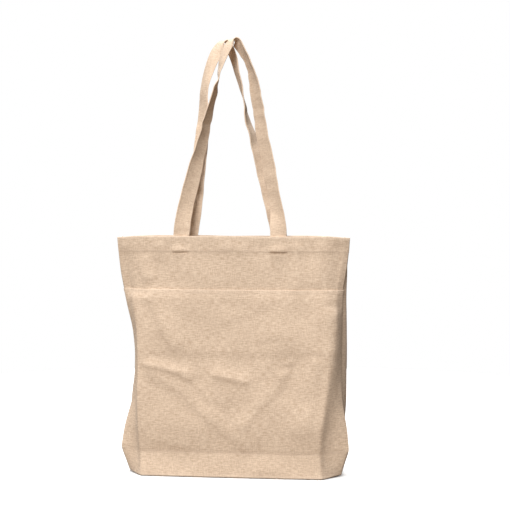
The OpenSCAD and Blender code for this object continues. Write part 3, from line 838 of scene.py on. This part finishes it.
xs = np.linspace(-156, 163, 150)
rings = 8
verts = [[x, 1.3 * math.sin(2 * math.pi * k / rings), 3.3 + 2.1 * math.cos(2 * math.pi * k / rings) + 0.2 * math.sin(x / 2.1)] for x in xs for k in range(rings)]
faces = [[i * rings + k, (i + 1) * rings + k, (i + 1) * rings + (k + 1) % rings, i * rings + (k + 1) % rings] for i in range(len(xs) - 1) for k in range(rings)]
faces += [list(range(rings)), [(len(xs) - 1) * rings + k for k in range(rings)][::-1]]
bottom = make("bottom_seam_edges", verts, faces, CLOTH_EDGE, dict(cloth=np.stack([np.repeat(xs, rings), np.tile(np.linspace(0, 8, rings), len(xs)), np.zeros(len(verts))], 1) * 0.001, wear_and_highlight=np.full(len(verts), 0.25)), weld=0)
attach(bottom, "bag"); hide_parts("bottom_seam")


# ---------------------------------------------------------------- handles
def spline(points, per):
    """Catmull-Rom through the rows."""
    p = np.array(points, float)
    out = []
    n = len(p) - 1
    for i in range(n):
        a, b, c, d = p[max(i - 1, 0)], p[i], p[i + 1], p[min(i + 2, n)]
        for t in np.linspace(0, 1, per, endpoint=False):
            out.append(0.5 * (2 * b + (c - a) * t + (2 * a - 5 * b + 4 * c - d) * t * t + (3 * b - a - 3 * c + d) * t ** 3))
    out.append(p[-1])
    return np.array(out)


def smooth_rows(a, sigma):
    """Smooths along the first axis and leaves the ends where they are."""
    r = int(3 * sigma) + 1
    k = np.exp(-0.5 * (np.arange(-r, r + 1) / sigma) ** 2)
    k /= k.sum()
    pad = np.concatenate([2 * a[:1] - a[r:0:-1], a, 2 * a[-1:] - a[-2:-r - 2:-1]], 0)
    return np.stack([np.convolve(pad[:, i], k, mode="valid") for i in range(a.shape[1])], 1)


def strap_path(path, s):
    """The whole strap: up from inside the hem on the left, over the top and down inside the hem on the right."""
    rest = CANVAS / 2 + HEM_STEP + 0.2 + STRAP_THICK / 2
    (xl, ll), (xr, lr) = ENDS[s]
    rows = []
    for z in (367, 373, 379, 385, 390, 396):
        x = xl + ll * (z - RIM)
        y = depth_at(x, min(z, 387.5), s) - s * rest
        rows.append([x, mix(y, s * 15.5, ease((z - 389) / 15)), z, path[0][3]])
    rows += [list(r) for r in path]
    for z in (396, 390, 385, 379, 373, 367):
        x = xr + lr * (z - RIM)
        y = depth_at(x, min(z, 387.5), s) - s * rest
        rows.append([x, mix(y, s * 15.5, ease((z - 389) / 15)), z, path[-1][3]])
    fine = spline(rows, 10)
    # equal steps along it
    d = np.concatenate([[0], np.cumsum(np.linalg.norm(np.diff(fine[:, :3], axis=0), axis=1))])
    n = int(d[-1] / 2.1)
    g = np.linspace(0, d[-1], n + 1)
    even = np.stack([np.interp(g, d, fine[:, i]) for i in range(4)], 1)
    even[:, :3] = smooth_rows(even[:, :3], 2.4)
    even[:, 3:] = smooth_rows(even[:, 3:], 4.0)
    even[:, 0] += HANDLE_SHIFT
    return even, g, rest


def strap(name, path, s, nodes, kinks, curl_sign):
    even, g, rest = strap_path(path, s)
    n = len(even)
    run = unit(np.gradient(even[:, :3], axis=0))
    yaw = np.radians(even[:, 3])
    wide = np.stack([np.cos(yaw), np.sin(yaw), 0 * yaw], 1)
    free = ease((even[:, 2] - 400) / 30)[:, None]
    wide = unit(wide - run * (np.sum(wide * run, 1)[:, None]) * free)
    normal = unit(np.cross(run, wide))
    ks = np.concatenate([[-1.0, -0.985, -0.955, -0.9, -0.85], np.linspace(-0.8, 0.8, 15), [0.85, 0.9, 0.955, 0.985, 1.0]])
    m = len(ks)
    w = STRAP / 2 + 0.18 * np.sin(g / 17.0) + 0.12 * np.sin(g / 5.3 + 1)
    mid = even[:, None, :3] + wide[:, None, :] * (ks[None, :, None] * w[:, None, None])
    # hollow across its width where it hangs free, and a slow unevenness along it
    hollow = curl_sign * (0.9 + 0.5 * np.sin(g / 46.0 + s)) * free[:, 0]
    lift = hollow[:, None] * (1 - ks[None] ** 2) + 0.22 * np.sin(g / 12.0)[:, None] * ks[None] * free + 0.16 * np.sin(g / 6.5 + 2)[:, None] * (ks[None] ** 3) * free
    lift += (0.30 * ripples(g, 0 * g, 71 + s, 16, 48, 18))[:, None] * (1 + 0.3 * ks[None]) * free
    lift += (0.14 * ripples(g, 0 * g, 81 + s, 14, 40, 18))[:, None] * ks[None] * free
    for where, side, height, width in kinks:
        k = int(np.argmin(np.abs(even[:, 2] - where) + 1000 * ((np.arange(n) < n / 2) != (side < 0))))
        lift += height * np.exp(-0.5 * ((g - g[k]) / width) ** 2)[:, None] * (1 - 0.35 * ks[None])
    mid = mid + normal[:, None, :] * lift[..., None]
    # inside the hem it lies along the cloth
    for i in range(n):
        z = even[i, 2]
        if z < 404:
            keep = ease((z - 389) / 15)
            for j in range(m):
                y = depth_at(mid[i, j, 0], min(z, 387.5), s) - s * rest
                mid[i, j, 1] = mix(y, mid[i, j, 1], keep)
    nn = grid_normals(mid, False)
    flip = np.sign(np.sum(nn * normal[:, None, :]))
    nn = nn * flip
    a = np.abs(ks) * STRAP / 2
    half = STRAP_THICK / 2 * np.sqrt(np.clip(1 - np.clip((a - 11.9) / 1.12, 0, 1) ** 2, 0, 1)) * 1.0
    half = half + 0.10 * np.exp(-0.5 * ((a - 11.4) / 0.8) ** 2) - 0.24 * np.exp(-0.5 * ((a - 10.2) / 0.55) ** 2)
    pucker = 1 + 0.10 * np.sin(g * 2 * math.pi / 3.4)[:, None] * np.exp(-0.5 * ((a - 10.2) / 1.6) ** 2)[None]
    h = np.maximum(half[None] * pucker, 0.05)
    top, low = mid + nn * h[..., None], mid - nn * h[..., None]
    ring = np.concatenate([top, low[:, ::-1]], 1)
    nr = ring.shape[1]
    i, j = np.meshgrid(np.arange(n - 1), np.arange(nr), indexing="ij")
    a0, b0 = i * nr + j, i * nr + (j + 1) % nr
    q = np.stack([a0, b0, b0 + nr, a0 + nr], -1).reshape(-1, 4)
    caps = [np.array([k, k + 1, nr - 2 - k, nr - 1 - k]) for k in range(m - 1)]
    end = [(n - 1) * nr + c[::-1] for c in caps]
    faces = [list(f) for f in q] + [list(c)[::-1] for c in caps] + [list(c)[::-1] for c in end]
    x_top = np.tile(ks * STRAP / 2, (n, 1))
    x_all = np.concatenate([x_top, x_top[:, ::-1] + 60], 1)
    cloth = np.stack([x_all, np.tile(g[:, None], (1, nr)), np.zeros((n, nr))], -1)
    # the strap's long edges painted paler: a painted highlight where the folded edges catch the light, with some rubbed
    # wear
    wk = np.clip(0.9 * ease((np.abs(ks) - 0.93) / 0.06) + 0.15, 0, 1)
    wear_and_highlight = np.tile(np.concatenate([wk, wk[::-1]]), (n, 1))
    o = make(name, ring.reshape(-1, 3), faces, CLOTH_STRAP, dict(cloth=cloth.reshape(-1, 3) * 0.001, wear_and_highlight=wear_and_highlight.ravel()), weld=0)
    b = bmesh.new()
    b.from_mesh(o.data)
    bmesh.ops.recalc_face_normals(b, faces=b.faces)
    b.to_mesh(o.data)
    b.free()
    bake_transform(o)
    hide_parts(*nodes)
    lines = []
    for side in (-1, 1):
        k = side * 10.2 / (STRAP / 2)
        for surface, sign in ((top, 1), (low, -1)):
            line = np.stack([np.array([np.interp(k, ks, surface[i, :, c]) for c in range(3)]) for i in range(n)])
            dirn = np.stack([np.array([np.interp(k, ks, nn[i, :, c]) for c in range(3)]) for i in range(n)]) * sign
            lines.append((line[2:-2], unit(dirn[2:-2])))
    st = stitches(name.replace("strap", "strap_stitches"), lines, pitch=3.4, length=2.5, thick=0.5, seed=51 + s)
    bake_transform(st)
    return o, g[-1]


FRONT_KINKS = [(570, -1, 0.9, 4.0), (640, -1, -0.6, 6.0), (592, 1, 0.8, 4.0), (612, 1, -0.7, 3.5), (520, 1, 0.5, 9.0), (450, -1, 0.5, 8.0)]
BACK_KINKS = [(440, -1, 0.7, 3.0), (560, -1, -0.6, 6.0), (588, 1, 0.9, 4.0), (480, 1, -0.6, 7.0)]
front_strap, front_length = strap("front_strap", FRONT_PATH, -1, ("front_handle", "front_handle_ends"), FRONT_KINKS, 1)
back_strap, back_length = strap("back_strap", BACK_PATH, 1, ("back_handle", "back_handle_ends"), BACK_KINKS, -1)


# ---------------------------------------------------------------- tacks: two short rows through the hem at each sewn end
def tack(name, x, s, cad_node, seed):
    lines = []
    for z in (RIM - 4.0, RIM - 18.0):
        row, n = wall_row(s, z)
        keep = np.abs(row[:, 0] - x) < 11.5
        lines.append((row[keep], n[keep]))
    o = stitches(name, lines, pitch=3.0, length=2.5, thick=0.66, seed=seed)
    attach(o, "bag"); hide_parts(cad_node)


tack("front_left_tack_stitches", -84 + HANDLE_SHIFT, -1, "front_left_tack", 61)
tack("front_right_tack_stitches", 74 + HANDLE_SHIFT, -1, "front_right_tack", 62)
tack("back_left_tack_stitches", -74 + HANDLE_SHIFT, 1, "back_left_tack", 63)
tack("back_right_tack_stitches", 72 + HANDLE_SHIFT, 1, "back_right_tack", 64)

# ---------------------------------------------------------------- floor
floor_mat = bpy.data.materials.new("studio_floor")
floor_mat.use_nodes = True
t = floor_mat.node_tree
bsdf = t.nodes["Principled BSDF"]
coord = node(t, "ShaderNodeTexCoord")
grain = noise(t, stretched(t, coord.outputs["Object"], (3, 3, 3)), 1.0, 2.0)
t.links.new(mix_colour(t, grain, (0.86, 0.86, 0.86), (0.9, 0.9, 0.9)), bsdf.inputs["Base Color"])
bsdf.inputs["Roughness"].default_value = 0.9
bsdf.inputs["Specular IOR Level"].default_value = 0.1
# the floor throws back less light than it shows, as when black flags stand on either side of a set
dim = node(t, "ShaderNodeBsdfDiffuse")
dim.inputs["Color"].default_value = (0.2, 0.17, 0.14, 1)
ray = node(t, "ShaderNodeLightPath")
blend_ = node(t, "ShaderNodeMixShader")
t.links.new(ray.outputs["Is Camera Ray"], blend_.inputs[0])
t.links.new(dim.outputs[0], blend_.inputs[1])
t.links.new(bsdf.outputs[0], blend_.inputs[2])
t.links.new(blend_.outputs[0], t.nodes["Material Output"].inputs["Surface"])
mesh = bpy.data.meshes.new("floor")
b = bmesh.new()
bmesh.ops.create_circle(b, cap_ends=True, radius=1.3, segments=96)
b.to_mesh(mesh)
b.free()
floor = bpy.data.objects.new("floor", mesh)
floor.location.z = -0.0004
mesh.materials.append(floor_mat)
bpy.context.scene.collection.objects.link(floor)

# ---------------------------------------------------------------- light
scene = bpy.context.scene
world = bpy.data.worlds.new("studio")
scene.world = world
world.use_nodes = True
t = world.node_tree
t.nodes.clear()
out = node(t, "ShaderNodeOutputWorld")
seen, room = node(t, "ShaderNodeBackground"), node(t, "ShaderNodeBackground")
seen.inputs["Color"].default_value = (1, 1, 1, 1)
seen.inputs["Strength"].default_value = 1.0
room.inputs["Color"].default_value = (1.0, 0.84, 0.68, 1)
room.inputs["Strength"].default_value = 0.045
path = node(t, "ShaderNodeLightPath")
both = node(t, "ShaderNodeMixShader")
t.links.new(path.outputs["Is Camera Ray"], both.inputs[0])
t.links.new(room.outputs[0], both.inputs[1])
t.links.new(seen.outputs[0], both.inputs[2])
t.links.new(both.outputs[0], out.inputs["Surface"])


def sun(name, azimuth, elevation, strength, spread_deg, colour=(1, 1, 1)):
    """A wide soft lamp. Azimuth 0 is straight in front, negative to the left; elevation is above the horizon."""
    data = bpy.data.lights.new(name, "SUN")
    data.energy, data.angle, data.color = strength, math.radians(spread_deg), colour
    o = bpy.data.objects.new(name, data)
    a, e = math.radians(azimuth), math.radians(elevation)
    where = Vector((math.sin(a) * math.cos(e), -math.cos(a) * math.cos(e), math.sin(e)))
    o.rotation_mode = "QUATERNION"
    o.rotation_quaternion = (-where).to_track_quat("-Z", "Y")
    o.location = where * 3
    scene.collection.objects.link(o)


sun("key", -8, 27, 3.15, 28, (1.0, 0.995, 0.985))
sun("behind", -172, 30, 2.0, 24)
sun("top", -40, 85, 3.4, 20)

# ---------------------------------------------------------------- camera
cam_data = bpy.data.cameras.new("camera")
cam = bpy.data.objects.new("camera", cam_data)
scene.collection.objects.link(cam)
cam_data.sensor_width, cam_data.lens = 36.0, 95.97
cam_data.clip_start, cam_data.clip_end = 0.05, 50
eye, look_at = Vector((0.2853, -2.1829, 0.4732)), Vector((0.0366, 0, 0.3581))
cam.location = eye
cam.rotation_mode = "QUATERNION"
cam.rotation_quaternion = (look_at - eye).to_track_quat("-Z", "Y")
scene.camera = cam
scene.view_settings.view_transform = "Standard"
scene.view_settings.look = "None"
